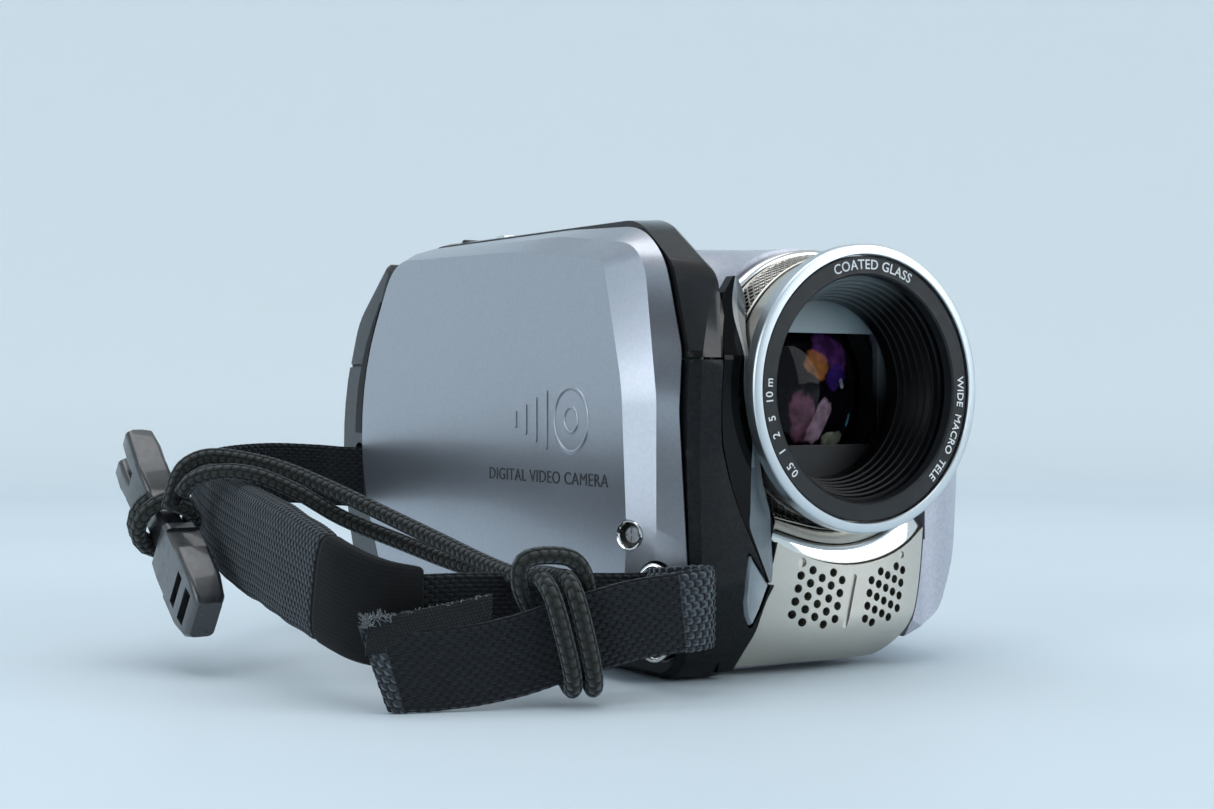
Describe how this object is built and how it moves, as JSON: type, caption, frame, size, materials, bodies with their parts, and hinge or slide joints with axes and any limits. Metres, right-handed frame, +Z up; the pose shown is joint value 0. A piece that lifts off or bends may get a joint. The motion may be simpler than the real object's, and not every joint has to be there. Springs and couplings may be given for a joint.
{
  "type": "camcorder",
  "caption": "Palm-size hard-disk video camera with a large ringed lens, fold-out screen, padded hand strap and a braided wrist cord with a small side-release buckle",
  "frame": {"origin": "on the flat underside of the lens housing, just in front of the middle of the body, at mount base; the camera stands on Z = 0", "axes": "the lens looks along -Y, +X points to the fold-out screen, -X to the hand strap, +Z is up"},
  "size_m": [0.1193, 0.1189, 0.0708],
  "materials": {
    "silver_paint": "metallic silver-grey paint with fine flakes",
    "lavender_paint": "metallic lavender-silver paint",
    "dark_gloss": "glossy brown-black plastic with fine flakes",
    "dark_grey_paint": "dark grey satin plastic with fine flakes",
    "champagne_paint": "warm champagne-silver metallic",
    "chrome": "polished",
    "black_plastic": "matt black",
    "black_gloss": "glossy black",
    "lens_glass": "coated optical glass",
    "steel": "plain steel",
    "board_green": "circuit board",
    "black_webbing": "woven nylon webbing",
    "black_cord": "braided nylon cord",
    "clear_plastic": "clear moulded plastic",
    "record_red": "satin red",
    "buckle_plastic": "moulded black plastic"
  },
  "bodies": {
    "camera_body": {"grip_side_cover": "silver_paint", "lens_housing": "lavender_paint", "front_corner_cover": "lavender_paint", "top_cover": "dark_gloss", "front_frame": "dark_grey_paint", "rear_upper_housing": "dark_grey_paint", "rear_lower_housing": "dark_grey_paint", "rear_cover": "dark_grey_paint", "front_panel": "champagne_paint", "lens_barrel": "champagne_paint", "knurled_band": "champagne_paint", "crescent_trim": "chrome", "lens_front_ring": "chrome", "barrel_trim_ring": "chrome", "front_eyelet": "chrome", "name_ring": "black_plastic", "lens_hood_tube": "black_plastic", "aperture_baffle": "black_plastic", "lens_block": "black_plastic", "speaker": "black_plastic", "side_window": "black_gloss", "front_lens": "lens_glass", "guide_rod_left": "steel", "guide_rod_right": "steel", "hard_disk_case": "steel", "disk_spindle": "steel", "tripod_bush": "steel", "lcd_hinge_pin": "steel", "front_strap_bar": "steel", "rear_strap_bar": "steel", "image_sensor": "board_green", "hard_disk_board": "board_green", "main_board": "board_green", "mic_board": "board_green", "grip_belt_front": "black_webbing", "grip_pad": "black_webbing", "grip_belt_rear": "black_webbing", "cord_coil": "black_cord", "wrist_cord": "black_cord", "lamp_window": "clear_plastic", "buckle_socket": "buckle_plastic", "buckle_plug": "buckle_plastic"},
    "lcd_door": {"lcd_cover": "lavender_paint", "lcd_bezel": "black_plastic", "lcd_screen": "black_gloss"},
    "zoom_lever": {"zoom_lever": "black_plastic"},
    "snapshot_button": {"snapshot_button": "chrome"},
    "mode_dial": {"mode_dial": "black_plastic"},
    "record_button": {"record_button": "record_red"},
    "play_button": {"play_button": "dark_grey_paint"},
    "menu_button": {"menu_button": "dark_grey_paint"},
    "index_button": {"index_button": "dark_grey_paint"},
    "jack_cover": {"jack_cover": "dark_grey_paint"},
    "card_door": {"card_door": "dark_grey_paint"},
    "battery_pack": {"battery_pack": "dark_grey_paint"},
    "battery_latch": {"battery_latch": "black_plastic"},
    "zoom_lens_group": {"zoom_lens_group": "lens_glass"},
    "focus_lens_group": {"focus_lens_group": "lens_glass"},
    "disk_platter": {"disk_platter": "chrome"},
    "head_arm": {"head_arm": "steel"}
  },
  "joints": [
    {"name": "lcd_open", "type": "hinge", "parent": "camera_body", "child": "lcd_door", "pos_m": [0.02985, -0.0346, 0.033], "axis": [0, 0, -1], "range_deg": [0, 90]},
    {"name": "zoom_rock", "type": "hinge", "parent": "camera_body", "child": "zoom_lever", "pos_m": [-0.0197, 0.02, 0.069], "axis": [0, 0, 1], "range_deg": [-12, 12], "stiffness_Nm_per_rad": 0.01},
    {"name": "snapshot_press", "type": "slide", "parent": "camera_body", "child": "snapshot_button", "axis": [0, 0, -1], "range_m": [0, 0.0006], "stiffness_N_per_m": 400, "springref_m": -0.0004},
    {"name": "record_press", "type": "slide", "parent": "camera_body", "child": "record_button", "axis": [0, -1, 0], "range_m": [0, 0.0006], "stiffness_N_per_m": 400, "springref_m": -0.0004},
    {"name": "mode_turn", "type": "hinge", "parent": "camera_body", "child": "mode_dial", "pos_m": [-0.0196, 0.055, 0.0375], "axis": [0, 1, 0], "range_deg": [-30, 30]},
    {"name": "play_press", "type": "slide", "parent": "camera_body", "child": "play_button", "axis": [-1, 0, 0], "range_m": [0, 0.0006], "stiffness_N_per_m": 400, "springref_m": -0.0004},
    {"name": "menu_press", "type": "slide", "parent": "camera_body", "child": "menu_button", "axis": [-1, 0, 0], "range_m": [0, 0.0006], "stiffness_N_per_m": 400, "springref_m": -0.0004},
    {"name": "index_press", "type": "slide", "parent": "camera_body", "child": "index_button", "axis": [-1, 0, 0], "range_m": [0, 0.0006], "stiffness_N_per_m": 400, "springref_m": -0.0004},
    {"name": "jack_cover_open", "type": "hinge", "parent": "camera_body", "child": "jack_cover", "pos_m": [-0.0195, 0.0528, 0.0136], "axis": [-1, 0, 0], "range_deg": [0, 95]},
    {"name": "card_door_open", "type": "hinge", "parent": "camera_body", "child": "card_door", "pos_m": [0.0203, 0.017, 0.0008], "axis": [0, -1, 0], "range_deg": [0, 80]},
    {"name": "battery_slide", "type": "slide", "parent": "camera_body", "child": "battery_pack", "axis": [0, 0, 1], "range_m": [0, 0.032]},
    {"name": "battery_release", "type": "slide", "parent": "camera_body", "child": "battery_latch", "axis": [1, 0, 0], "range_m": [0, 0.003], "stiffness_N_per_m": 300, "springref_m": -0.001},
    {"name": "zoom_travel", "type": "slide", "parent": "camera_body", "child": "zoom_lens_group", "axis": [0, 1, 0], "range_m": [-0.009, 0.006]},
    {"name": "focus_travel", "type": "slide", "parent": "camera_body", "child": "focus_lens_group", "axis": [0, 1, 0], "range_m": [-0.004, 0.005]},
    {"name": "disk_spin", "type": "hinge", "parent": "camera_body", "child": "disk_platter", "pos_m": [-0.0261, -0.01, 0.0355], "axis": [1, 0, 0], "continuous": true},
    {"name": "head_swing", "type": "hinge", "parent": "camera_body", "child": "head_arm", "pos_m": [-0.0248, 0.0215, 0.018], "axis": [1, 0, 0], "range_deg": [-10, 14]}
  ]
}
